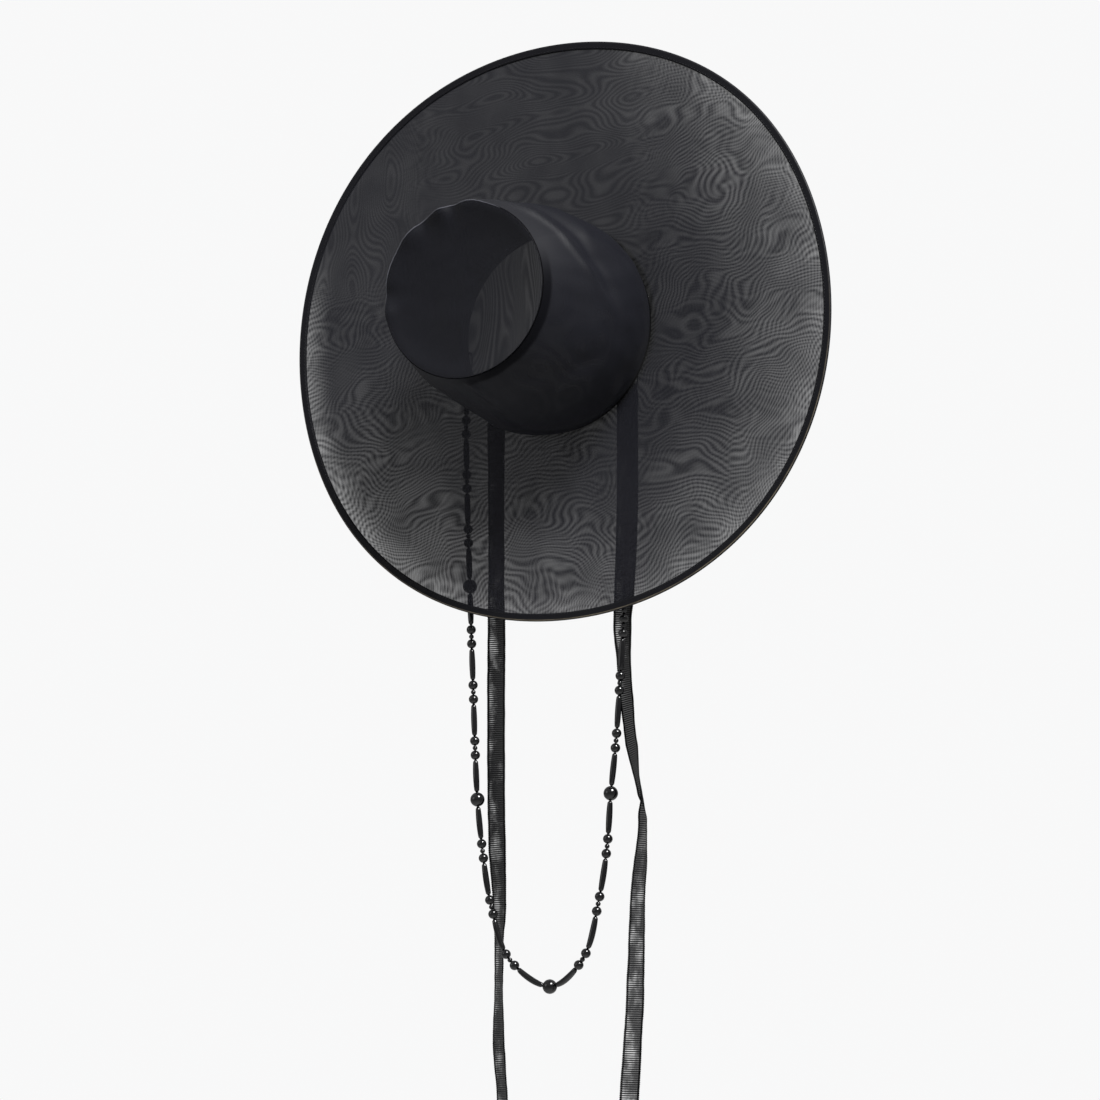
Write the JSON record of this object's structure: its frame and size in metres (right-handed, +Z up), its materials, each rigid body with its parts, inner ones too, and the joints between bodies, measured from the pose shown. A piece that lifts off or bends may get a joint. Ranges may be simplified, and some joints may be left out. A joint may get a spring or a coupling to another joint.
{
  "type": "korean gat",
  "caption": "Sheer black hat with a wide flat brim, a soft barrel-shaped crown, two tie ribbons and a beaded chin string, hung with its brim upright.",
  "frame": {"origin": "the highest point of the headband's inner face, in the plane of the crown's foot, where the hat hangs", "axes": "+Z up, +Y toward the wall behind the hat, the crown pointing to -Y, +X to the right as seen from the crown's side"},
  "size_m": [0.4977, 0.1861, 0.9023],
  "materials": {
    "brim_gauze": "sheer double gauze with a moire",
    "binding_tape": "matt close-woven tape",
    "crown_gauze": "soft gauze, darker where layers lie over each other",
    "ribbon_gauze": "cross-ribbed satin ribbon, slightly sheer",
    "beads": "polished black"
  },
  "bodies": {
    "root": {"brim": "brim_gauze", "brim_binding": "binding_tape", "crown_side": "crown_gauze", "crown_top": "crown_gauze", "headband": "binding_tape", "ribbon_left": "ribbon_gauze", "ribbon_right": "ribbon_gauze", "bead_string": "beads"}
  },
  "joints": []
}
